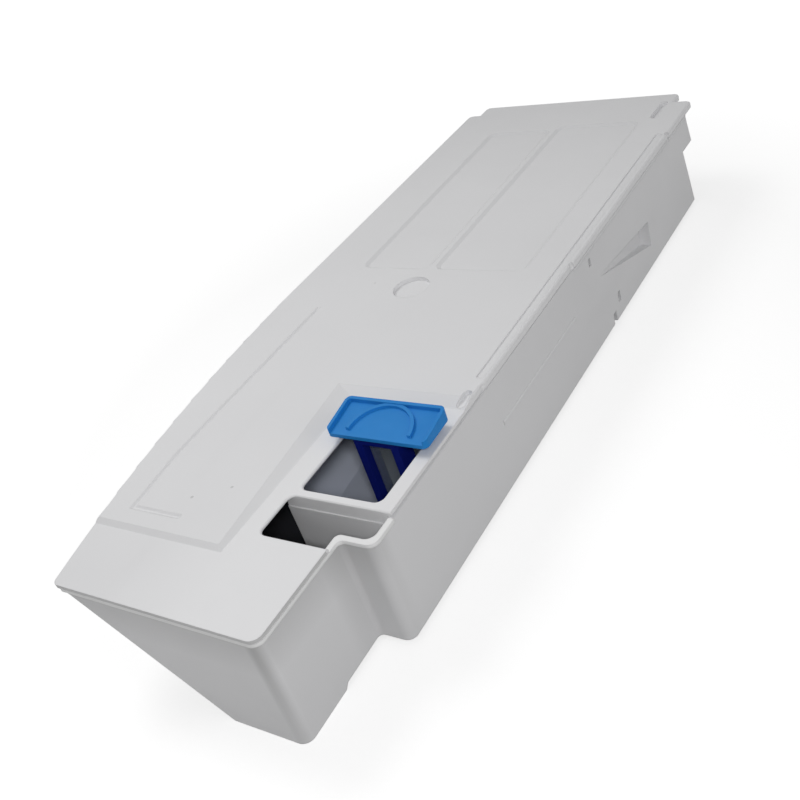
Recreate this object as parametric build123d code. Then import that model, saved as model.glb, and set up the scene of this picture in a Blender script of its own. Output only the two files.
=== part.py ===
from build123d import *
import math
import os

os.makedirs("parts", exist_ok=True)

# Water tank of a condenser dryer, standing on its underside with its front towards +Y.
# All sizes are millimetres. Places are measured in from the right side and forward from the rear edge.

# Overall size
LENGTH = 504.0
WIDTH = 174.0
HEIGHT = 70.5

# Plan of the rim
NARROW_INSET = 18.5
STEP_AT = 61.0
TAPER_LENGTH = 243.5
TAPER_INSET = 31.5
REAR_CORNER = 5.5
STEP_CORNER = 5.0
STEP_INNER_CORNER = 3.0
PLAIN_CORNER = 4.0
JOGS_AT = (168.5, 280.0)
JOG = 0.9
JOG_LENGTH = 3.0

# Walls of the tank
WALL = 2.5
RIM_DROP = 4.5
RIM_OVERHANG = 1.2
REAR_OVERHANG = 0.8
DRAFT = 1.4
FRONT_ROUND = 3.0
SLANT_TOP = 1.5
SLANT_RUN = 74.5
FLANGE = 2.0
FLANGE_INSET = 0.6

# Side view of the tank: a foot under the rear end, and a leaning front with a nose
FOOT_LENGTH = 32.0
FOOT = 2.5
FRONT_NOSE = 485.5
NOSE_HEIGHT = 44.5
NOSE_OVERHANG = 18.0
FRONT_LEAN = 14.0

# Inlet notch, bridge and filter opening in the cover
NOTCH_AT = 53.4
NOTCH_LENGTH = 26.0
NOTCH_DEPTH = 58.0
BRIDGE = 4.6
OPENING_INSET = 10.0
OPENING_WIDTH = 45.5
OPENING_CORNER = 4.0
OPENING_EDGE = 0.6
OPENING_FLARE = 45.0
BRIDGE_DEPTH = 9.0
PARTITION_WIDTH = 62.0
PARTITION = 2.0
PARTITION_LEDGE = 0.6

# Cover
PLATE = 3.0
SKIRT = 2.2
EDGE_ROUND = 1.4
SHADOW_LINE = 0.9
FRONT_LIP = 13.5
LIP_FROM_RIGHT = 12.5
LIP_FROM_LEFT = 9.0

# Relief of the cover
SINK = 1.6
SINK_REAR = 38.7
SINK_SIDE = 68.4
SINK_FRONT = 151.0
SINK_SLOPE = 3.0
SINK_SIDE_SLOPE = 14.0
SINK_FRONT_SLOPE = 8.5
GROOVE_WIDTH = 1.0
GROOVE_DEPTH = 0.9
GROOVE_SLOPE = 1.1
GROOVE_SIDE = 141.2
GROOVE_TURN_IN = 4.5
GROOVE_TURN_AT = 93.0
GROOVE_LEG = 31.0
GROOVE_REAR = 52.0
GROOVE_FRONT = 226.0
PANEL_DEPTH = 1.3
PANEL_SLOPE = 2.4
PANEL_REAR = 273.5
LEFT_PANEL_WIDTH = 44.0
LEFT_PANEL_LENGTH = 181.0
LEFT_PANEL_FROM_LEFT = 38.0
RIGHT_PANEL_WIDTH = 56.0
RIGHT_PANEL_LENGTH = 186.0
RIGHT_PANEL_FROM_RIGHT = 28.0
DIMPLE_DIAMETER = 22.0
DIMPLE_DEPTH = 2.4
DIMPLE_INSET = 90.0
DIMPLE_AT = 251.5
CHANNEL_INSET = 3.0
CHANNEL_WIDTH = 4.5
CHANNEL_DEPTH = 0.7
CHANNEL_AT = 174.0
CHANNEL_LENGTH = 266.0
CHANNEL_CORNER = 1.5
LAST_BITE_AT = 440.5
BITE_LENGTH = 3.6
BITE_DEPTH = 2.0
CLIP_SLOT_LENGTH = 26.0
CLIP_SLOT_WIDTH = 5.0
CLIP_SLOT_INSET = 18.5
CLIP_SLOT_AT = 478.0
CATCH_SLOT_LENGTH = 12.0
CATCH_SLOT_WIDTH = 4.5
CATCH_SLOT_INSET = 5.5
CATCH_SLOT_AT = 158.0
SLOT_DEPTH = 2.4

# Right wall: a long bead, a finger pocket, a latch slot and a nick in the lower edge
BEAD_AT = 178.0
BEAD_LENGTH = 94.0
BEAD_HEIGHT = 38.0
BEAD_WIDTH = 2.4
BEAD_PROUD = 0.8
POCKET_AT = 307.0
POCKET_LENGTH = 84.0
POCKET_TIP = 43.5
POCKET_TOP = 33.5
POCKET_LOW = 16.5
POCKET_DEPTH = 8.0
LATCH_AT = 333.0
LATCH_HEIGHT = 15.1
LATCH_WIDTH = 3.2
LATCH_TALL = 7.0
LATCH_DEPTH = 4.0
NICK_AT = 323.0
NICK_LENGTH = 4.4
NICK_TALL = 7.0
NICK_DEPTH = 5.0
HOOK_AT = 302.5
HOOK_HEIGHT = 57.5
HOOK_WIDTH = 3.0
HOOK_TALL = 5.0
HOOK_DEPTH = 2.0

# Filter insert
FIT_GAP = 0.4
SEAT_GAP = 0.2
THUMB_WIDTH = 57.0
THUMB_DEPTH = 23.0
THUMB_PLATE = 2.0
THUMB_AT = 116.5
THUMB_RISE = 4.6
THUMB_TILT = 8.0
THUMB_INSET = 2.5
THUMB_CORNER = 3.0
THUMB_RIM = 2.0
THUMB_RIM_WIDTH = 1.8
THUMB_SKIRT = 2.0
THUMB_LOW = 3.1
SEAT_RIB = 4.0
ARCH_RADIUS = 17.5
ARCH_WIDTH = 1.8
ARCH_RISE = 1.5
ARCH_FROM_EDGE = 3.5
LEG_AT = 120.5
LEG_WIDTH = 4.5
LEG_DEPTH = 10.0
LEG_CLEAR = 16.6
LEG_INSET = 35.5
LEG_FOOT = 10.5
CROSS_BAR = 4.0
MESH = 1.0
MESH_GROOVE = 1.4
MESH_HOLE = 3.0
MESH_PITCH = 4.0

RIM = HEIGHT - RIM_DROP
SLANT_ANGLE = math.atan2(RIM, SLANT_RUN)
LEAN = math.tan(math.radians(FRONT_LEAN))
TILT = math.tan(math.radians(THUMB_TILT))
TAPER_RADIUS = (TAPER_LENGTH**2 + TAPER_INSET**2) / (2 * TAPER_INSET)
OPENING_AT = NOTCH_AT + NOTCH_LENGTH + BRIDGE
OPENING_LENGTH = LEG_AT + LEG_DEPTH + FIT_GAP - OPENING_AT
COVER_FRONT = LENGTH - FRONT_LIP
OUTSIDE = 20.0


def across(distance):
    """X of a place measured in from the right side."""
    return WIDTH / 2 - distance


def along(distance):
    """Y of a place measured forward from the rear edge."""
    return distance - LENGTH / 2


def left_side(distance, inset):
    """X of the left side at a distance from the rear edge; it curves in towards the rear."""
    reach = max(TAPER_LENGTH - distance, 0.0)
    return inset - WIDTH / 2 + TAPER_RADIUS - math.sqrt(TAPER_RADIUS**2 - reach**2)


def right_side(inset, start, front, jogs):
    """Points of the right side; where it jogs, it comes out a little towards the front."""
    inward = inset + JOG * len(jogs)
    points = [(across(inward), along(start))]
    for at in jogs:
        points.append((across(inward), along(at)))
        inward -= JOG
        points.append((across(inward), along(at + JOG_LENGTH)))
    return points + [(across(inward), along(front))]


def plan(inset, rear_inset, left_inset, front, jogs=()):
    """Plan outline set in from the rim, narrow at the rear and stepped out on the right."""
    rear_left = (left_side(rear_inset, left_inset), along(rear_inset))
    rear_right = (across(NARROW_INSET + inset), along(rear_inset))
    step_in = (across(NARROW_INSET + inset), along(STEP_AT + inset))
    step_out, *bends, front_right = right_side(inset, STEP_AT + inset, front, jogs)
    front_left = (across(WIDTH - left_inset), along(front))
    taper_start = (across(WIDTH - left_inset), along(TAPER_LENGTH))
    rounds = {bend: JOG_LENGTH for bend in bends}
    rounds |= {rear_left: PLAIN_CORNER, rear_right: REAR_CORNER}
    rounds |= {step_in: STEP_INNER_CORNER, step_out: STEP_CORNER}
    rounds |= {front_right: PLAIN_CORNER, front_left: PLAIN_CORNER}
    with BuildSketch() as sketch:
        with BuildLine():
            Polyline(rear_left, rear_right, step_in, step_out, *bends, front_right, front_left, taper_start)
            TangentArc(taper_start, rear_left, tangent=(0, -1))
        make_face()
        for corner, radius in rounds.items():
            fillet(sketch.vertices().sort_by_distance((*corner, 0))[0], radius)
    return sketch.sketch


def wall_plan(height, thickness):
    """Plan of the tank's wall at a height, set in by a thickness; the left wall slants."""
    below = (RIM - height) / RIM
    inset = RIM_OVERHANG + DRAFT * below + thickness
    left_inset = SLANT_TOP + SLANT_RUN * below + thickness / math.sin(SLANT_ANGLE)
    return Pos(0, 0, height) * plan(inset, REAR_OVERHANG + thickness, left_inset, LENGTH)


def side_view(thickness):
    """Block with the tank's side view, set in by a thickness, across the whole width."""
    top = HEIGHT + OUTSIDE
    shelf = FRONT_NOSE - NOSE_OVERHANG
    points = [
        (along(-OUTSIDE), 0),
        (along(FOOT_LENGTH), 0),
        (along(FOOT_LENGTH + FOOT), FOOT),
        (along(shelf + LEAN * (NOSE_HEIGHT - FOOT)), FOOT),
        (along(shelf), NOSE_HEIGHT),
        (along(FRONT_NOSE), NOSE_HEIGHT),
        (along(FRONT_NOSE - LEAN * (top - NOSE_HEIGHT)), top),
        (along(-OUTSIDE), top),
    ]
    with BuildSketch(Plane.YZ) as sketch:
        with BuildLine():
            Polyline(*points, close=True)
        make_face()
        if thickness:
            offset(amount=-thickness, kind=Kind.INTERSECTION, mode=Mode.REPLACE)
    return extrude(sketch.sketch, amount=WIDTH, both=True)


def front_rounded_view():
    """Side view block that ends at the right wall, with the front's upright corners rounded there."""
    long = LENGTH + 2 * OUTSIDE
    view = side_view(0) & block(RIM_OVERHANG, -OUTSIDE, 0, 2 * WIDTH, long, HEIGHT)
    fronts = view.faces().filter_by(lambda face: face.normal_at().Y > LEAN)
    return fillet([face.edges().sort_by(Axis.X)[-1] for face in fronts], FRONT_ROUND)


def block(inset, distance, height, wide, long, tall):
    """Box given by its right, rear and lower sides and its size."""
    corner = Pos(across(inset), along(distance), height)
    return corner * Box(wide, long, tall, align=(Align.MAX, Align.MIN, Align.MIN))


def rounded(inset, distance, wide, long, corner, grow=0.0):
    """Rounded rectangle in plan, given by its right and rear sides, grown all round."""
    centre = Pos(across(inset + wide / 2), along(distance + long / 2))
    return centre * RectangleRounded(wide + 2 * grow, long + 2 * grow, corner + grow)


def prism(face, low, high):
    """Upright prism of a plan face between two heights."""
    return extrude(Pos(0, 0, low) * face, amount=high - low)


def notch(grow):
    """Plan of the inlet notch, open on the right, grown all round."""
    return rounded(-OUTSIDE, NOTCH_AT, NOTCH_DEPTH + OUTSIDE, NOTCH_LENGTH, OPENING_CORNER, grow)


def opening(grow):
    """Plan of the filter opening, grown all round."""
    return rounded(OPENING_INSET, OPENING_AT, OPENING_WIDTH, OPENING_LENGTH, OPENING_CORNER, grow)


def finger_pocket(skin):
    """Wedge pocket in the right wall, deeper and taller towards the front, grown by a skin."""
    face_inset = RIM_OVERHANG
    end = POCKET_AT + POCKET_LENGTH
    with BuildSketch() as top_view:
        with BuildLine():
            Polyline(
                (across(face_inset - OUTSIDE), along(POCKET_AT)),
                (across(face_inset), along(POCKET_AT)),
                (across(face_inset + POCKET_DEPTH), along(end)),
                (across(face_inset - OUTSIDE), along(end)),
                close=True,
            )
        make_face()
        if skin:
            offset(amount=skin, kind=Kind.INTERSECTION, mode=Mode.REPLACE)
    with BuildSketch(Plane.YZ) as side:
        with BuildLine():
            Polyline(
                (along(POCKET_AT), POCKET_TIP),
                (along(end), POCKET_TOP),
                (along(end), POCKET_LOW),
                close=True,
            )
        make_face()
        if skin:
            offset(amount=skin, kind=Kind.INTERSECTION, mode=Mode.REPLACE)
    return prism(top_view.sketch, 0, HEIGHT) & extrude(side.sketch, amount=WIDTH, both=True)


def wall_recess(distance, height, long, tall, depth, skin):
    """Small upright recess in the right wall, grown by a skin."""
    deep = OUTSIDE + RIM_OVERHANG + DRAFT + depth + skin
    return block(
        -OUTSIDE,
        distance - long / 2 - skin,
        height - tall / 2 - skin,
        deep,
        long + 2 * skin,
        tall + 2 * skin,
    )


def recesses(skin):
    """Everything that is pushed into the right wall."""
    latch = wall_recess(LATCH_AT, LATCH_HEIGHT, LATCH_WIDTH, LATCH_TALL, LATCH_DEPTH, skin)
    nick = wall_recess(NICK_AT, FOOT, NICK_LENGTH, 2 * NICK_TALL, NICK_DEPTH, skin)
    hook = wall_recess(HOOK_AT, HOOK_HEIGHT, HOOK_WIDTH, HOOK_TALL, HOOK_DEPTH, skin)
    return finger_pocket(skin) + latch + nick + hook


def bead():
    """Low bead along the right wall."""
    inset = RIM_OVERHANG + DRAFT * (RIM - BEAD_HEIGHT) / RIM
    wide = BEAD_PROUD + WALL / 2
    bar = block(inset - BEAD_PROUD, BEAD_AT, BEAD_HEIGHT, wide, BEAD_LENGTH, BEAD_WIDTH)
    return chamfer(bar.edges().filter_by(Axis.Y).group_by(Axis.X)[-1], BEAD_PROUD / 2)


def bites():
    """Small bites in the right edge of the cover and the flange, one at each jog and one near the front."""
    deep = BITE_LENGTH + BITE_DEPTH
    places = [at - BITE_LENGTH / 2 for at in (*JOGS_AT, LAST_BITE_AT)]
    cuts = [rounded(-BITE_LENGTH, at, deep, BITE_LENGTH, BITE_DEPTH / 2) for at in places]
    return prism(Sketch() + cuts, RIM - FLANGE, HEIGHT)


def cavity():
    """Hollow of the tank, without what stands in it."""
    sections = [wall_plan(0, WALL), wall_plan(HEIGHT, WALL)]
    return loft(sections, ruled=True) & side_view(WALL)


def tank_body():
    """Open moulded tank with its flange, its partition and a plain rim in the inlet notch."""
    hollow = cavity()
    sections = [wall_plan(0, 0), wall_plan(RIM, 0)]
    outer = loft(sections, ruled=True) & front_rounded_view()
    flange_front = FRONT_NOSE - LEAN * (RIM - NOSE_HEIGHT)
    flange_plan = plan(FLANGE_INSET, FLANGE_INSET, FLANGE_INSET, flange_front, JOGS_AT)
    flange = prism(flange_plan, RIM - FLANGE, RIM) - bites()
    rim_plan = plan(FLANGE_INSET, FLANGE_INSET, FLANGE_INSET, flange_front)
    notch_rim = prism(rim_plan, RIM - FLANGE, RIM) & prism(notch(-FIT_GAP), 0, HEIGHT)
    partition_at = NOTCH_AT + NOTCH_LENGTH - PARTITION_LEDGE
    partition = block(0, partition_at, 0, PARTITION_WIDTH, PARTITION, HEIGHT - BRIDGE_DEPTH)
    room = hollow - partition - recesses(WALL)
    return outer + flange + notch_rim + bead() - room - recesses(0)


def cover_plan(inset):
    """Plan of the cover with its front lip, set in from the edge."""
    lip_width = WIDTH - LIP_FROM_LEFT - LIP_FROM_RIGHT
    lip_root = COVER_FRONT - FRONT_LIP
    lip = rounded(LIP_FROM_RIGHT, lip_root, lip_width, 2 * FRONT_LIP, PLAIN_CORNER, -inset)
    return plan(inset, inset, inset, COVER_FRONT - inset, JOGS_AT) + lip


def sunk(floor, depth, slope):
    """Cut into the cover's upper face down to a floor; its sides spread by the slope on the way up."""
    angle = math.degrees(math.atan2(slope, depth))
    return extrude(Pos(0, 0, HEIGHT - depth) * floor, amount=2 * depth, taper=-angle)


def sink_plan(spread):
    """Plan of the cover's sunk rear end: its floor at a spread of 0, its upper edge at a spread of 1."""
    rear = SINK_REAR + spread * SINK_SLOPE
    front = SINK_FRONT + spread * SINK_FRONT_SLOPE
    with BuildSketch() as sketch:
        with BuildLine():
            Polyline(
                (across(WIDTH + OUTSIDE), along(-OUTSIDE)),
                (across(WIDTH + OUTSIDE), along(rear)),
                (across(SINK_SIDE + spread * SINK_SLOPE), along(rear)),
                (across(SINK_SIDE + spread * SINK_SIDE_SLOPE), along(front)),
                (across(-OUTSIDE), along(front)),
                (across(-OUTSIDE), along(-OUTSIDE)),
                close=True,
            )
        make_face()
    return sketch.sketch


def sink():
    """Sunk rear end of the cover, with sloped edges that get wider towards the front."""
    floor = Pos(0, 0, HEIGHT - SINK) * sink_plan(0)
    above = Pos(0, 0, HEIGHT + SINK) * sink_plan(2)
    return loft([floor, above], ruled=True)


def panel(inset, wide, long):
    """Shallow panel with sloped sides, to be sunk into the cover."""
    return sunk(rounded(inset, PANEL_REAR, wide, long, PLAIN_CORNER), PANEL_DEPTH, PANEL_SLOPE)


def groove():
    """Fine groove along the left of the cover that bends in a little and then turns at its rear end."""
    rear_side = GROOVE_SIDE - GROOVE_TURN_IN
    with BuildSketch() as sketch:
        with BuildLine():
            Polyline(
                (across(rear_side - GROOVE_LEG), along(GROOVE_REAR)),
                (across(rear_side), along(GROOVE_REAR)),
                (across(GROOVE_SIDE), along(GROOVE_TURN_AT)),
                (across(GROOVE_SIDE), along(GROOVE_FRONT)),
            )
        trace(line_width=GROOVE_WIDTH)
    return sunk(sketch.sketch, GROOVE_DEPTH, GROOVE_SLOPE)


def slot(inset, distance, wide, long):
    """Blind slot with round ends near the right edge of the cover."""
    return Pos(across(inset), along(distance)) * SlotOverall(long, wide, rotation=90)


def bridge_beam():
    """Beam under the bridge between the notch and the filter opening, clear of the tank's wall."""
    low = HEIGHT - BRIDGE_DEPTH
    wide = NOTCH_DEPTH + OPENING_CORNER
    beam = block(0, OPENING_AT - BRIDGE, low, wide, BRIDGE, BRIDGE_DEPTH - PLATE)
    return beam & prism(wall_plan(low, WALL + FIT_GAP), -low, HEIGHT)


def openings():
    """The notch and the filter opening, cut through the sunk plate, with their upper edge eased."""
    holes = notch(0) + opening(0)
    face = HEIGHT - SINK
    flare = extrude(Pos(0, 0, face - OPENING_EDGE) * holes, amount=OPENING_EDGE, taper=-OPENING_FLARE)
    return prism(holes, RIM - BRIDGE_DEPTH, HEIGHT) + flare


def top_cover():
    """Moulded cover with a downturned skirt, a beam under its bridge and shallow relief."""
    body = prism(cover_plan(0), RIM + SHADOW_LINE, HEIGHT)
    body = fillet(body.edges().group_by(Axis.Z)[-1], EDGE_ROUND)
    body += prism(cover_plan(SHADOW_LINE), RIM, RIM + SHADOW_LINE)
    body -= prism(cover_plan(SKIRT), RIM, HEIGHT - PLATE)
    dimple = Pos(across(DIMPLE_INSET), along(DIMPLE_AT)) * Circle(DIMPLE_DIAMETER / 2)
    body += prism(offset(dimple, amount=PLATE), RIM, HEIGHT - PLATE)
    body += bridge_beam()
    channel = rounded(CHANNEL_INSET, CHANNEL_AT, CHANNEL_WIDTH, CHANNEL_LENGTH, CHANNEL_CORNER)
    slots = slot(CLIP_SLOT_INSET, CLIP_SLOT_AT, CLIP_SLOT_WIDTH, CLIP_SLOT_LENGTH)
    slots += slot(CATCH_SLOT_INSET, CATCH_SLOT_AT, CATCH_SLOT_WIDTH, CATCH_SLOT_LENGTH)
    body -= sink()
    body -= openings()
    body -= groove()
    body -= panel(RIGHT_PANEL_FROM_RIGHT, RIGHT_PANEL_WIDTH, RIGHT_PANEL_LENGTH)
    left_inset = WIDTH - LEFT_PANEL_FROM_LEFT - LEFT_PANEL_WIDTH
    body -= panel(left_inset, LEFT_PANEL_WIDTH, LEFT_PANEL_LENGTH)
    body -= prism(dimple, HEIGHT - DIMPLE_DEPTH, HEIGHT)
    body -= prism(channel, HEIGHT - CHANNEL_DEPTH, HEIGHT)
    body -= prism(slots, HEIGHT - SLOT_DEPTH, HEIGHT)
    return body - bites()


def frame_width():
    """Width of the filter's legs and the sieve between them."""
    return LEG_CLEAR + 2 * LEG_WIDTH


def thumb_side(points, wide, inset):
    """Block across the thumb plate; its side view is given from the plate's rear edge and the cover."""
    placed = [(along(THUMB_AT + far), HEIGHT + up) for far, up in points]
    with BuildSketch(Plane.YZ) as sketch:
        with BuildLine():
            Polyline(*placed, close=True)
        make_face()
    return Pos(across(inset + wide), 0, 0) * extrude(sketch.sketch, amount=wide)


def thumb_slab(low, high):
    """Sloping slab between two heights above the thumb plate's upper face."""
    far = THUMB_DEPTH + OUTSIDE
    near = -OUTSIDE
    points = [
        (near, THUMB_RISE + TILT * near + low),
        (far, THUMB_RISE + TILT * far + low),
        (far, THUMB_RISE + TILT * far + high),
        (near, THUMB_RISE + TILT * near + high),
    ]
    return thumb_side(points, THUMB_WIDTH, THUMB_INSET)


def filter_frame():
    """Blue filter insert: a tilted thumb plate with a short skirt and a seat rib, legs and cross bars."""
    centre = THUMB_INSET + THUMB_WIDTH / 2
    outline = rounded(THUMB_INSET, THUMB_AT, THUMB_WIDTH, THUMB_DEPTH, THUMB_CORNER)
    hollow_width = THUMB_WIDTH - 2 * THUMB_SKIRT
    underside = THUMB_RISE - THUMB_PLATE
    wedge = thumb_side(
        [
            (0, underside),
            (0, THUMB_RISE),
            (THUMB_DEPTH, THUMB_RISE + TILT * THUMB_DEPTH),
            (THUMB_DEPTH, THUMB_LOW),
        ],
        THUMB_WIDTH,
        THUMB_INSET,
    )
    wall_at = THUMB_DEPTH - THUMB_SKIRT
    room = thumb_side(
        [
            (-OUTSIDE, underside - TILT * OUTSIDE),
            (wall_at, underside + TILT * wall_at),
            (wall_at, -OUTSIDE),
            (-OUTSIDE, -OUTSIDE),
        ],
        hollow_width,
        THUMB_INSET + THUMB_SKIRT,
    )
    thumb = (wedge - room) & prism(outline, HEIGHT, HEIGHT + OUTSIDE)
    inside = rounded(
        THUMB_INSET + THUMB_RIM_WIDTH,
        THUMB_AT - THUMB_DEPTH,
        THUMB_WIDTH - 2 * THUMB_RIM_WIDTH,
        2 * THUMB_DEPTH - THUMB_RIM_WIDTH,
        THUMB_CORNER - THUMB_RIM_WIDTH,
    )
    rim = prism(outline - inside, HEIGHT, HEIGHT + OUTSIDE)
    thumb += rim & thumb_slab(-THUMB_PLATE, THUMB_RIM)
    arch = Circle(ARCH_RADIUS + ARCH_WIDTH / 2) - Circle(ARCH_RADIUS - ARCH_WIDTH / 2)
    arch &= Rectangle(4 * ARCH_RADIUS, 2 * ARCH_RADIUS, align=(Align.CENTER, Align.MIN))
    arch = Pos(across(centre), along(THUMB_AT + ARCH_FROM_EDGE)) * arch
    thumb += prism(arch, HEIGHT, HEIGHT + OUTSIDE) & thumb_slab(-THUMB_PLATE, ARCH_RISE)
    left_leg = LEG_INSET + LEG_CLEAR / 2
    right_leg = LEG_INSET - LEG_CLEAR / 2 - LEG_WIDTH
    tall = HEIGHT + OUTSIDE - LEG_FOOT
    legs = [block(inset, LEG_AT, LEG_FOOT, LEG_WIDTH, LEG_DEPTH, tall) for inset in (left_leg, right_leg)]
    bar = block(right_leg, LEG_AT, LEG_FOOT, frame_width(), LEG_DEPTH, CROSS_BAR)
    top_bar = block(right_leg, LEG_AT, HEIGHT - CROSS_BAR, frame_width(), LEG_DEPTH, OUTSIDE)
    rib_at = OPENING_AT + OPENING_LENGTH + OPENING_EDGE + FIT_GAP
    rib = block(right_leg, rib_at, HEIGHT - SINK + SEAT_GAP, frame_width(), SEAT_RIB, OUTSIDE)
    below = thumb_slab(-HEIGHT - OUTSIDE, -THUMB_PLATE / 2)
    frame = thumb + ((Part() + legs + bar + top_bar + rib) & below)
    return frame - sieve_blank(FIT_GAP / 2)


def sieve_blank(grow):
    """Plain panel of the sieve with its edges in the grooves of the frame, grown all round."""
    wide = LEG_CLEAR + 2 * MESH_GROOVE
    low = LEG_FOOT + CROSS_BAR - MESH_GROOVE
    tall = HEIGHT - CROSS_BAR + MESH_GROOVE - low
    middle = LEG_AT + LEG_DEPTH / 2
    return block(
        LEG_INSET - wide / 2 - grow,
        middle - MESH / 2 - grow,
        low - grow,
        wide + 2 * grow,
        MESH + 2 * grow,
        tall + 2 * grow,
    )


def filter_mesh():
    """Sieve panel with a grid of square holes."""
    low = LEG_FOOT + CROSS_BAR
    tall = HEIGHT - CROSS_BAR - low
    columns = int(LEG_CLEAR / MESH_PITCH)
    rows = int(tall / MESH_PITCH)
    centre = Pos(across(LEG_INSET), along(LEG_AT + LEG_DEPTH / 2), low + tall / 2)
    upright = centre * Plane.XZ.location
    grid = GridLocations(MESH_PITCH, MESH_PITCH, columns, rows)
    holes = [upright * place * Box(MESH_HOLE, MESH_HOLE, 2 * MESH) for place in grid]
    return sieve_blank(0) - holes


pieces = {
    "tank_body": tank_body(),
    "top_cover": top_cover(),
    "filter_frame": filter_frame(),
    "filter_mesh": filter_mesh(),
}
for name, piece in pieces.items():
    export_step(piece, f"parts/{name}.step")
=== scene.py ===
import bpy
import math
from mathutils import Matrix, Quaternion, Vector


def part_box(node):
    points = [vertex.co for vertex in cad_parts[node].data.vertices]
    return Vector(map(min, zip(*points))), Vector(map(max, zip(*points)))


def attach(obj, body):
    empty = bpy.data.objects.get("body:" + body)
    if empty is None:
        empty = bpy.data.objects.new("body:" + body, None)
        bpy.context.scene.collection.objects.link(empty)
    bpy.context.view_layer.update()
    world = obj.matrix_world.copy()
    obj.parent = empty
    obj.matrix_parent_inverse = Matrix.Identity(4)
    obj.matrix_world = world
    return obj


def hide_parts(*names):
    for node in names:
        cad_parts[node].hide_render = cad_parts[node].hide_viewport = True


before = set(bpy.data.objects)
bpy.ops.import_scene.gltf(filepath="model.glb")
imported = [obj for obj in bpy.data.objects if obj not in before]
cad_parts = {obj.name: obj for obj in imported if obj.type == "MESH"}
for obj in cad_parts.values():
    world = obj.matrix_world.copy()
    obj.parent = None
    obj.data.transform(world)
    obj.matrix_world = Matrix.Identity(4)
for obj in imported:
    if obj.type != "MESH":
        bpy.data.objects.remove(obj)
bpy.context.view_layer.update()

# All sizes are metres. The tank stands on z = 0 with its front towards +Y and its notch on the right, +X.
MM = 0.001
PLAN = (1, 1, 0)

# Camera at the photograph's viewing angle, aimed at the cover beside the filter opening
CAMERA_AT = Vector((0.33054, -0.41724, 0.34813))
CAMERA_AIM = Vector((0.04824, -0.10056, 0.0705))
CAMERA_ROLL = math.radians(-19.75)
CAMERA_LENS = 46.325
CAMERA_NEAREST = 0.01

# Light that comes from all around
SKY_LEVEL = 0.31

# Lamps: place, aim, size, spread of the beam and power
WIDE = math.radians(180)
NARROW = math.radians(90)
LAMPS = {
    "left_window": (Vector((-0.45, 0.0, 0.85)), Vector((0, -0.16, 0.07)), 0.4, NARROW, 0.74),
    "near_window": (Vector((0.71, -0.78, 0.78)), Vector((0.03, -0.14, 0.07)), 0.12, WIDE, 3.4),
    "right_fill": (Vector((1.5, -0.1, 0.45)), Vector((0.05, 0, 0.03)), 0.6, WIDE, 2.2),
}

# Colours are red, green, blue and opacity. A share says how much of a colour lies over the one below it.
WHITE = (1, 1, 1, 1)
BLACK = (0, 0, 0, 1)

# White floor, which looks lighter than the light that it sends back to the tank
FLOOR_SIZE = 14.0
FLOOR_TONE = (0.5, 0.5, 0.5, 1)
FLOOR_ROUGHNESS = 0.9
FLOOR_LIFT = 0.66
FLOOR_FAR_LIFT = 0.33
FLOOR_NEAR = 0.25
FLOOR_FAR = 0.7

# Eased corners of the mouldings
TANK_EASE = 0.9 * MM
COVER_EASE = 0.7 * MM
FILTER_EASE = 0.3 * MM
EASE_SAMPLES = 6

# Clouds and grain of all the plastics
CLOUD_LOW = 0.3
CLOUD_HIGH = 0.7
GRAIN_STRENGTH = 0.35

# White plastic of the tank and the cover
TANK_LIGHT = (0.80, 0.80, 0.81, 1)
TANK_DARK = (0.76, 0.76, 0.77, 1)
COVER_LIGHT = (0.82, 0.82, 0.83, 1)
COVER_DARK = (0.78, 0.78, 0.79, 1)
WHITE_CLOUD_SCALE = 7
WHITE_SHEEN_SCALE = 60
WHITE_GRAIN_SCALE = 2400
WHITE_GRAIN_DEPTH = 0.05 * MM
WHITE_ROUGHNESS = 0.40
WHITE_ROUGHNESS_SPREAD = 0.14
WHITE_GLOSS = 0.3

# Faint scuffs on the white plastic, drawn out along Y
SCUFF_TONE = (0.60, 0.60, 0.61, 1)
SCUFF_SHARE = 0.10
SCUFF_SCALE = 26
SCUFF_STRETCH = (1, 0.16, 1)
SCUFF_START = 0.62
SCUFF_FULL = 0.78
SCUFF_ROUGHNESS = 0.05

# Inner side of the slanted left wall: its rim, its run for each unit of height and its curve in plan
LEFT_RIM = -85.5 * MM
RIM = 66.0 * MM
SLANT = 1.129
TAPER_START = -8.5 * MM
TAPER_RADIUS = 957.0 * MM
INNER_SKIN = 1.9 * MM
INNER_FLOOR = 4.0 * MM

# Painted shade on that wall, below the inlet notch: a dark patch where the deep inlet lies in shade
INLET_SHADE_TONE = (0.01, 0.01, 0.012, 1)
INLET_SHADE_SHARE = 0.98
INLET_SHADE_AT = Vector((-14.0, -151.0, 15.5)) * MM
INLET_SHADE_CORE = 17.0 * MM
INLET_SHADE_EDGE = 26.0 * MM

# Painted reflection inside, below the filter: a blue cast of light from the blue filter
REFLECTED_BLUE_TONE = (0.72, 0.77, 0.90, 1)
REFLECTED_BLUE_AT = Vector((-5.0, -105.0, 15.0)) * MM
REFLECTED_BLUE_CORE = 40.0 * MM
REFLECTED_BLUE_EDGE = 60.0 * MM

# Painted shade on the upright corners of the narrow end, most of all near the rim: place in plan, core, edge
# and share
PAINTED_SHADE_TONE = (0.45, 0.45, 0.45, 1)
PAINTED_CORNER_SHADES = [
    (Vector((63.4, -250.0, 0.0)) * MM, 1.0 * MM, 4.5 * MM, 0.80),
    (Vector((73.0, -190.0, 0.0)) * MM, 6.0 * MM, 17.0 * MM, 0.55),
]
CORNER_SHADE_BELOW = 0.3

# Painted shade on the walls of the narrow end below the rim, in the same tone. It starts and is full at
# shares of the rim's height.
UNDER_RIM_SHADE_SHARE = 0.4
UNDER_RIM_SHADE_START = 0.66
UNDER_RIM_SHADE_FULL = 0.97
UNDER_RIM_SHADE_FRONT = -180.0 * MM
UNDER_RIM_SHADE_FADE = 9.0 * MM
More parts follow.
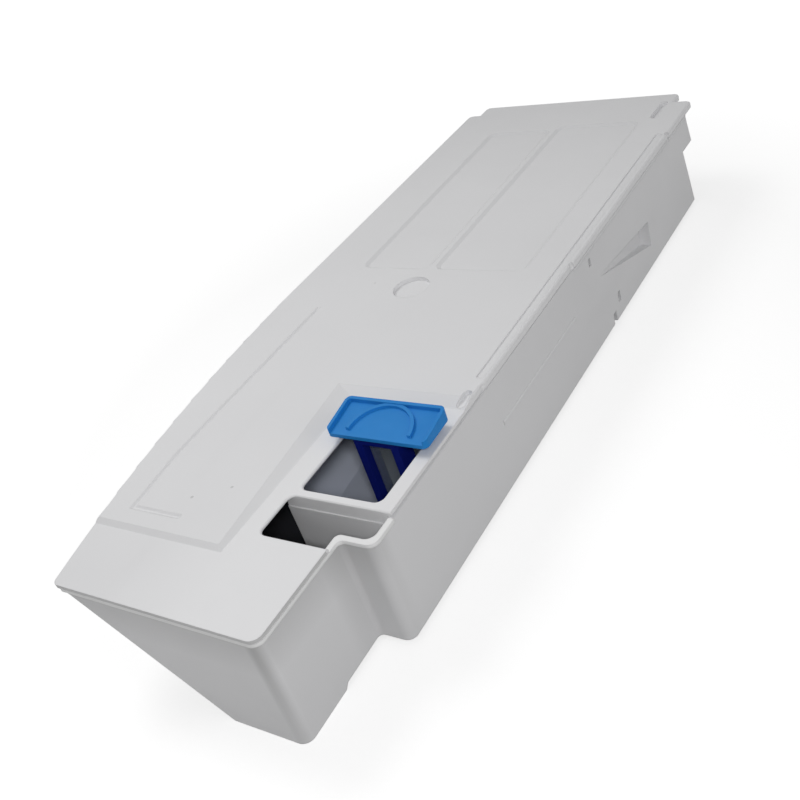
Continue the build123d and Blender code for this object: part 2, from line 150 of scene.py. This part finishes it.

# Joint of the cover and the tank at the rear end: painted shade on the cover's edge above a height and a
# painted highlight below it
REAR_END = -200.0 * MM
JOINT_SHADE_HEIGHT = 67.2 * MM
JOINT_SHADE_TONE = (0.55, 0.55, 0.55, 1)
JOINT_SHADE_SHARE = 0.8
JOINT_HIGHLIGHT_TONE = (0.92, 0.92, 0.92, 1)
UPRIGHT = 0.5

# Painted highlight on the flange of the tank below that joint, as far as the inlet's rim
FLANGE_HIGHLIGHT_TONE = (0.90, 0.90, 0.90, 1)
INLET_FRONT = -173.0 * MM
JOINT_LOW = 64.0 * MM

# Painted shade on the slopes of the cover's relief, by how far they lean: it starts, is full, thins out and
# ends
SLOPE_SHADE_TONE = (0.62, 0.62, 0.63, 1)
SLOPE_SHADE_SHARE = 0.3
SLOPE_SHADE_START = 0.002
SLOPE_SHADE_FULL = 0.006
SLOPE_SHADE_THIN = 0.13
SLOPE_SHADE_END = 0.3

# Sunk end of the cover, which is lighter beside the inlet and the opening
SUNK_LIGHTER_TONE = (0.88, 0.88, 0.89, 1)
SUNK_LIGHTER_SHARE = 0.7
SUNK_LIGHTER_TOP = 69.05 * MM
SUNK_LIGHTER_LEFT = -20.0 * MM
SUNK_LIGHTER_FADE = 50.0 * MM

# Specks of dirt on the cover: place and radius
SPECK_TONE = (0.2, 0.19, 0.18, 1)
SPECK_SHARE = 0.3
SPECKS = [
    (Vector((-21.0, -186.9, 70.5)) * MM, 0.9 * MM),
    (Vector((-3.7, -176.1, 70.5)) * MM, 0.8 * MM),
    (Vector((-30.7, 2.4, 70.5)) * MM, 0.6 * MM),
]

# Blue plastic of the filter; its legs are darker than its plate by painted shade from the plate and cover
# above them
BLUE_DARK = (0.014, 0.22, 0.61, 1)
BLUE_LIGHT = (0.024, 0.245, 0.66, 1)
BLUE_CLOUD_SCALE = 45
BLUE_SHEEN_SCALE = 120
BLUE_GRAIN_SCALE = 2600
BLUE_GRAIN_DEPTH = 0.04 * MM
BLUE_ROUGHNESS = 0.42
BLUE_ROUGHNESS_SPREAD = 0.16
BLUE_GLOSS = 0.15
LEG_SHADE_BLUE = (0.004, 0.012, 0.20, 1)
LEG_SHADE_LOW = 70.5 * MM
LEG_SHADE_TOP = 72.5 * MM

# Woven sieve of nylon yarn
SIEVE_COLUMNS = 18
SIEVE_WAVE = 0.16 * MM
SIEVE_STRAND = 0.3 * MM
YARN_DARK = (0.15, 0.19, 0.22, 1)
YARN_LIGHT = (0.24, 0.28, 0.31, 1)
YARN_CLOUD_SCALE = 300
YARN_SHEEN_SCALE = 900
YARN_ROUGHNESS = 0.5
YARN_ROUGHNESS_SPREAD = 0.2


class Signal:
    """A node's output that takes part in Python sums and comparisons; each one adds a Math node."""

    def __init__(self, nodes, output):
        self.nodes = nodes
        self.output = output

    def maths(self, operation, first, second):
        return self.nodes.node("ShaderNodeMath", {"operation": operation}, {0: first, 1: second})

    def __add__(self, other):
        return self.maths("ADD", self, other)

    def __radd__(self, other):
        return self.maths("ADD", other, self)

    def __sub__(self, other):
        return self.maths("SUBTRACT", self, other)

    def __rsub__(self, other):
        return self.maths("SUBTRACT", other, self)

    def __mul__(self, other):
        return self.maths("MULTIPLY", self, other)

    def __rmul__(self, other):
        return self.maths("MULTIPLY", other, self)

    def __truediv__(self, other):
        return self.maths("DIVIDE", self, other)

    def __rtruediv__(self, other):
        return self.maths("DIVIDE", other, self)

    def __gt__(self, other):
        return self.maths("GREATER_THAN", self, other)

    def __lt__(self, other):
        return self.maths("LESS_THAN", self, other)

    def or_more(self, other):
        return self.maths("MAXIMUM", self, other)


class Nodes:
    """The nodes of a material or of the sky."""

    def __init__(self, owner):
        owner.use_nodes = True
        self.tree = owner.node_tree

    def node(self, kind, settings, sockets, output=0):
        made = self.tree.nodes.new(kind)
        for name, value in settings.items():
            if name == "stops":
                self.set_stops(made.color_ramp, value)
            else:
                setattr(made, name, value)
        for name, value in sockets.items():
            self.feed(made.inputs[name], value)
        return Signal(self, made.outputs[output])

    def set_stops(self, ramp, stops):
        for element, (position, level) in zip(ramp.elements, stops):
            element.position = position
            element.color = (level, level, level, 1)

    def feed(self, socket, value):
        if isinstance(value, Signal):
            self.tree.links.new(value.output, socket)
        else:
            socket.default_value = value

    def seen_directly(self):
        """1 where the camera, a reflection or a refraction looks, 0 for the light that reaches the object."""
        looks = ("Is Camera Ray", "Is Glossy Ray", "Is Transmission Ray")
        camera_ray, glossy, through = (self.node("ShaderNodeLightPath", {}, {}, look) for look in looks)
        return camera_ray.or_more(glossy).or_more(through)


class Finish(Nodes):
    """A procedural material on Object coordinates."""

    def __init__(self, name):
        self.material = bpy.data.materials.new(name)
        super().__init__(self.material)
        self.shader = self.tree.nodes["Principled BSDF"]
        self.place = self.node("ShaderNodeTexCoord", {}, {}, "Object")

    def set(self, **values):
        for name, value in values.items():
            self.feed(self.shader.inputs[name.replace("_", " ")], value)

    def axis(self, name):
        """One of the three coordinates of the place."""
        return self.node("ShaderNodeSeparateXYZ", {}, {"Vector": self.place}, name)

    def lean(self):
        """How far the surface leans from level: 0 on a level top, 1 on an upright wall."""
        normal = self.node("ShaderNodeTexCoord", {}, {}, "Normal")
        return 1 - self.node("ShaderNodeSeparateXYZ", {}, {"Vector": normal}, "Z")

    def stretched(self, stretch):
        return self.node("ShaderNodeVectorMath", {"operation": "MULTIPLY"}, {0: self.place, 1: stretch})

    def apart(self, point, stretch=(1, 1, 1)):
        """Distance from a point of the object."""
        sockets = {0: self.stretched(stretch), 1: point}
        return self.node("ShaderNodeVectorMath", {"operation": "DISTANCE"}, sockets, "Value")

    def noise(self, scale, detail, stretch=(1, 1, 1)):
        sockets = {"Vector": self.stretched(stretch), "Scale": scale, "Detail": detail}
        return self.node("ShaderNodeTexNoise", {}, sockets, "Fac")

    def ramp(self, signal, low, high):
        """0 below low and 1 above high, with a straight slope between them."""
        return self.node("ShaderNodeValToRGB", {"stops": [(low, 0), (high, 1)]}, {"Fac": signal})

    def patch(self, distance, core, edge):
        """1 within the core and 0 past the edge of a round patch."""
        return 1 - self.ramp(distance / edge, core / edge, 1)

    def blend(self, share, first, second):
        return self.node("ShaderNodeMix", {"data_type": "RGBA"}, {"Factor": share, 6: first, 7: second}, 2)

    def bump(self, height, distance, ease):
        eased = self.node("ShaderNodeBevel", {"samples": EASE_SAMPLES}, {"Radius": ease})
        sockets = {"Height": height, "Distance": distance, "Strength": GRAIN_STRENGTH, "Normal": eased}
        self.set(Normal=self.node("ShaderNodeBump", {}, sockets))


def white_plastic(name, light, dark, ease):
    """White moulded plastic with a fine satin grain, slightly cloudy, with faint scuffs."""
    finish = Finish(name)
    cloud = finish.noise(WHITE_CLOUD_SCALE, detail=3)
    scuffs = finish.noise(SCUFF_SCALE, detail=5, stretch=SCUFF_STRETCH)
    scuffs = finish.ramp(scuffs, SCUFF_START, SCUFF_FULL)
    tone = finish.blend(finish.ramp(cloud, CLOUD_LOW, CLOUD_HIGH), dark, light)
    tone = finish.blend(scuffs * SCUFF_SHARE, tone, SCUFF_TONE)
    grain = finish.noise(WHITE_GRAIN_SCALE, detail=2)
    sheen = finish.noise(WHITE_SHEEN_SCALE, detail=4)
    roughness = WHITE_ROUGHNESS + WHITE_ROUGHNESS_SPREAD * sheen + SCUFF_ROUGHNESS * scuffs
    finish.set(Roughness=roughness, Specular_IOR_Level=WHITE_GLOSS)
    finish.bump(grain, WHITE_GRAIN_DEPTH, ease)
    return finish, tone


def inner_side(finish):
    """1 on the inner side of the slanted wall and of the floor beside it, 0 on their outer side."""
    x, y, z = (finish.axis(name) for name in "XYZ")
    reach = (TAPER_START - y).or_more(0)
    left = LEFT_RIM + SLANT * (RIM - z) + reach * reach / (2 * TAPER_RADIUS)
    return (x > left + INNER_SKIN) * (z > INNER_FLOOR)


def tank_plastic():
    """White plastic of the tank, with a painted blue reflection and a painted dark patch of shade inside, and
    at its narrow end painted shade on the corners and below the rim and a painted highlight on the flange.
    """
    finish, tone = white_plastic("tank_white", TANK_LIGHT, TANK_DARK, TANK_EASE)
    height = finish.axis("Z") / RIM
    # Painted shade on the upright corners of the narrow end
    for at, core, edge, share in PAINTED_CORNER_SHADES:
        corner_shade = finish.patch(finish.apart(at, PLAN), core, edge)
        tone = finish.blend(corner_shade * share * (CORNER_SHADE_BELOW + (1 - CORNER_SHADE_BELOW) * height), tone, PAINTED_SHADE_TONE)
    # Painted shade below the overhanging rim of the narrow end
    behind = finish.ramp((UNDER_RIM_SHADE_FRONT - finish.axis("Y")) / UNDER_RIM_SHADE_FADE, 0, 1)
    under_rim_shade = behind * finish.ramp(height, UNDER_RIM_SHADE_START, UNDER_RIM_SHADE_FULL)
    tone = finish.blend(under_rim_shade * UNDER_RIM_SHADE_SHARE, tone, PAINTED_SHADE_TONE)
    # Painted highlight on the flange at the rear end
    flange_highlight = (finish.axis("Y") < INLET_FRONT) * (finish.axis("Z") > JOINT_LOW)
    tone = finish.blend(flange_highlight, tone, FLANGE_HIGHLIGHT_TONE)
    inside = inner_side(finish)
    # Painted blue reflection of the filter on the inside of the tank
    reflected_blue = finish.patch(finish.apart(REFLECTED_BLUE_AT), REFLECTED_BLUE_CORE, REFLECTED_BLUE_EDGE)
    tone = finish.blend(inside * reflected_blue, tone, REFLECTED_BLUE_TONE)
    # Painted shade of the deep inlet, put on the inner wall as a dark patch
    inlet_shade = finish.patch(finish.apart(INLET_SHADE_AT), INLET_SHADE_CORE, INLET_SHADE_EDGE)
    tone = finish.blend(inside * inlet_shade * INLET_SHADE_SHARE, tone, INLET_SHADE_TONE)
    finish.set(Base_Color=tone)
    return finish.material


def cover_plastic():
    """White plastic of the cover, lighter by the inlet, with painted shade on the slopes, painted shade and a
    painted highlight on its rear edge, and specks of dirt.
    """
    finish, tone = white_plastic("cover_white", COVER_LIGHT, COVER_DARK, COVER_EASE)
    # Lighter tone on the sunk end beside the inlet and the opening
    beside = finish.ramp((finish.axis("X") - SUNK_LIGHTER_LEFT) / SUNK_LIGHTER_FADE, 0, 1)
    sunk_lighter = (finish.axis("Z") < SUNK_LIGHTER_TOP) * beside
    tone = finish.blend(sunk_lighter * SUNK_LIGHTER_SHARE, tone, SUNK_LIGHTER_TONE)
    lean = finish.lean()
    # Painted shade on the slopes of the relief
    slope_shade = finish.ramp(lean, SLOPE_SHADE_START, SLOPE_SHADE_FULL) * (1 - finish.ramp(lean, SLOPE_SHADE_THIN, SLOPE_SHADE_END))
    tone = finish.blend(slope_shade * SLOPE_SHADE_SHARE, tone, SLOPE_SHADE_TONE)
    # Painted shade on the cover's rear edge above the joint and a painted highlight below it
    edge = (finish.axis("Y") < REAR_END) * (lean > UPRIGHT)
    joint_shade = finish.axis("Z") > JOINT_SHADE_HEIGHT
    tone = finish.blend(edge * joint_shade * JOINT_SHADE_SHARE, tone, JOINT_SHADE_TONE)
    tone = finish.blend(edge * (1 - joint_shade), tone, JOINT_HIGHLIGHT_TONE)
    for at, radius in SPECKS:
        near = finish.apart(at) < radius
        tone = finish.blend(near * SPECK_SHARE, tone, SPECK_TONE)
    finish.set(Base_Color=tone)
    return finish.material


def blue_plastic():
    """Blue moulded plastic, satin, with painted shade that makes the legs darker than the plate."""
    finish = Finish("blue_plastic")
    cloud = finish.ramp(finish.noise(BLUE_CLOUD_SCALE, detail=3), CLOUD_LOW, CLOUD_HIGH)
    tone = finish.blend(cloud, BLUE_DARK, BLUE_LIGHT)
    # Painted shade on the legs below the plate
    plate = finish.ramp(finish.axis("Z") / LEG_SHADE_TOP, LEG_SHADE_LOW / LEG_SHADE_TOP, 1)
    tone = finish.blend(plate, LEG_SHADE_BLUE, tone)
    grain = finish.noise(BLUE_GRAIN_SCALE, detail=2)
    sheen = finish.noise(BLUE_SHEEN_SCALE, detail=4)
    roughness = BLUE_ROUGHNESS + BLUE_ROUGHNESS_SPREAD * sheen
    finish.set(Base_Color=tone, Roughness=roughness, Specular_IOR_Level=BLUE_GLOSS)
    finish.bump(grain, BLUE_GRAIN_DEPTH, FILTER_EASE)
    return finish.material


def sieve_nylon():
    """Grey nylon yarn."""
    finish = Finish("sieve_nylon")
    tone = finish.blend(finish.noise(YARN_CLOUD_SCALE, detail=3), YARN_DARK, YARN_LIGHT)
    sheen = finish.noise(YARN_SHEEN_SCALE, detail=2)
    finish.set(Base_Color=tone, Roughness=YARN_ROUGHNESS + YARN_ROUGHNESS_SPREAD * sheen)
    return finish.material


def apply_modifier(piece, kind, **settings):
    bpy.ops.object.select_all(action="DESELECT")
    piece.select_set(True)
    bpy.context.view_layer.objects.active = piece
    made = piece.modifiers.new(kind.title(), kind)
    for name, value in settings.items():
        setattr(made, name, value)
    bpy.ops.object.modifier_apply(modifier=made.name)


def woven_sieve(material):
    """Fine woven sieve in the frame of the filter insert."""
    low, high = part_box("filter_mesh")
    size = high - low
    pitch = size.x / SIEVE_COLUMNS
    rows = round(size.z / pitch)
    bpy.ops.object.select_all(action="DESELECT")
    bpy.ops.mesh.primitive_grid_add(
        x_subdivisions=SIEVE_COLUMNS,
        y_subdivisions=rows,
        size=1,
        location=(low + high) / 2,
        rotation=(math.pi / 2, 0, 0),
    )
    piece = bpy.context.object
    piece.name = "woven_sieve"
    piece.scale = (size.x - SIEVE_STRAND, size.z - SIEVE_STRAND, 1)
    bpy.ops.object.transform_apply(location=True, rotation=True, scale=True)
    for point in piece.data.vertices:
        column = round((point.co.x - low.x) / pitch)
        row = round((point.co.z - low.z) / pitch)
        point.select = (column + row) % 2 == 0
    for edge in piece.data.edges:
        edge.select = False
    for face in piece.data.polygons:
        face.select = False
    bpy.ops.object.mode_set(mode="EDIT")
    bpy.ops.mesh.select_mode(type="VERT")
    bpy.ops.transform.translate(value=(0, SIEVE_WAVE, 0))
    bpy.ops.object.mode_set(mode="OBJECT")
    apply_modifier(piece, "WIREFRAME", thickness=SIEVE_STRAND, use_even_offset=False)
    bpy.ops.object.shade_smooth()
    piece.data.materials.append(material)
    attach(piece, "filter")
    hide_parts("filter_mesh")


def camera():
    lens = bpy.data.cameras.new("camera")
    lens.lens = CAMERA_LENS
    lens.clip_start = CAMERA_NEAREST
    made = bpy.data.objects.new("camera", lens)
    made.location = CAMERA_AT
    turn = (CAMERA_AIM - CAMERA_AT).to_track_quat("-Z", "Y") @ Quaternion((0, 0, 1), CAMERA_ROLL)
    made.rotation_euler = turn.to_euler()
    bpy.context.scene.collection.objects.link(made)
    bpy.context.scene.camera = made


def lamps():
    for name, (place, aim, size, spread, power) in LAMPS.items():
        lamp = bpy.data.lights.new(name, "AREA")
        lamp.size = size
        lamp.spread = spread
        lamp.energy = power
        made = bpy.data.objects.new(name, lamp)
        made.location = place
        made.rotation_euler = (aim - place).to_track_quat("-Z", "Y").to_euler()
        bpy.context.scene.collection.objects.link(made)


def sky():
    """White sky, which looks lighter than the light that it sends to the tank."""
    world = bpy.data.worlds.new("sky")
    bpy.context.scene.world = world
    nodes = Nodes(world)
    backdrop = nodes.tree.nodes["Background"]
    nodes.feed(backdrop.inputs["Color"], WHITE)
    nodes.feed(backdrop.inputs["Strength"], SKY_LEVEL + (1 - SKY_LEVEL) * nodes.seen_directly())


def white_floor():
    bpy.ops.object.select_all(action="DESELECT")
    bpy.ops.mesh.primitive_plane_add(size=FLOOR_SIZE, location=(0, 0, 0))
    floor = bpy.context.object
    floor.name = "floor"
    finish = Finish("floor_white")
    finish.set(Base_Color=FLOOR_TONE, Roughness=FLOOR_ROUGHNESS, Specular_IOR_Level=0.0)
    far = finish.ramp(finish.apart((0, 0, 0)), FLOOR_NEAR, FLOOR_FAR)
    lift = (FLOOR_LIFT + FLOOR_FAR_LIFT * far) * finish.seen_directly()
    finish.set(Emission_Color=finish.blend(lift, BLACK, WHITE), Emission_Strength=1.0)
    floor.data.materials.append(finish.material)


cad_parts["tank_body"].material_slots[0].material = tank_plastic()
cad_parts["top_cover"].material_slots[0].material = cover_plastic()
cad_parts["filter_frame"].material_slots[0].material = blue_plastic()
woven_sieve(sieve_nylon())
camera()
lamps()
sky()
white_floor()
bpy.context.scene.view_settings.view_transform = "Standard"
